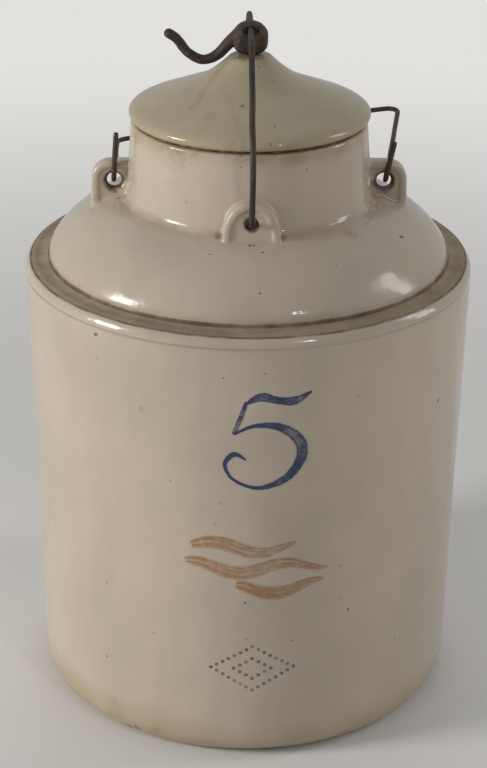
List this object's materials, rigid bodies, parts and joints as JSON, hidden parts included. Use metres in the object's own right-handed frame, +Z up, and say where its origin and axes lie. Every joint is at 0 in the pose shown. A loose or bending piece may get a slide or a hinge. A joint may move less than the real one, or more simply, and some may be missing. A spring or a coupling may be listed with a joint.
{
  "type": "lidded stoneware crock",
  "caption": "Wide stoneware storage crock with a narrow collar, a domed lid held down by a wire bail with a cast ball and lever, and a wire carrying bail with a wooden grip.",
  "frame": {"origin": "middle of the foot, on the surface that the crock stands on", "axes": "+Z up; -Y is the front, where the numeral is; +X is the viewer's right"},
  "size_m": [0.298, 0.298, 0.4656],
  "materials": {
    "cream_glaze": "glossy warm cream-grey glaze with iron specks",
    "lid_glaze": "glossy cream glaze, stained tan at the rim",
    "perished_rubber": "matt, dark and perished",
    "rusty_wire": "dark brown rust",
    "cast_iron": "rough, rusted",
    "turned_wood": "worn, dark with handling"
  },
  "bodies": {
    "crock": {"jar": "cream_glaze", "front_ear": "cream_glaze", "back_ear": "cream_glaze", "left_ear": "cream_glaze", "right_ear": "cream_glaze", "sealing_ring": "perished_rubber"},
    "lid": {"lid": "lid_glaze"},
    "lock_bail": {"lock_bail": "rusty_wire"},
    "ball_lever": {"ball_lever": "cast_iron"},
    "carry_bail": {"carry_bail": "rusty_wire"},
    "grip": {"grip": "turned_wood"}
  },
  "joints": [
    {"name": "lock_bail_swing", "type": "hinge", "parent": "crock", "child": "lock_bail", "pos_m": [0, 0, 0.36], "axis": [0, 1, 0], "range_deg": [0, 48]},
    {"name": "lever_turn", "type": "hinge", "parent": "lock_bail", "child": "ball_lever", "pos_m": [0, 0, 0.4617], "axis": [0, 1, 0], "range_deg": [0, 120]},
    {"name": "lid_turn", "type": "hinge", "parent": "crock", "child": "lid", "pos_m": [0, 0, 0.4], "axis": [0, 0, 1], "continuous": true},
    {"name": "carry_bail_swing", "type": "hinge", "parent": "crock", "child": "carry_bail", "pos_m": [0, 0, 0.367], "axis": [1, 0, 0], "range_deg": [0, 84]},
    {"name": "grip_spin", "type": "hinge", "parent": "carry_bail", "child": "grip", "pos_m": [0.0086, 0.12138, 0.3595], "axis": [0.9925, 0, 0.1219], "continuous": true}
  ],
  "couplings": [
    {"joint": "lock_bail_swing", "follows": "lever_turn", "ratio": 0.4}
  ]
}
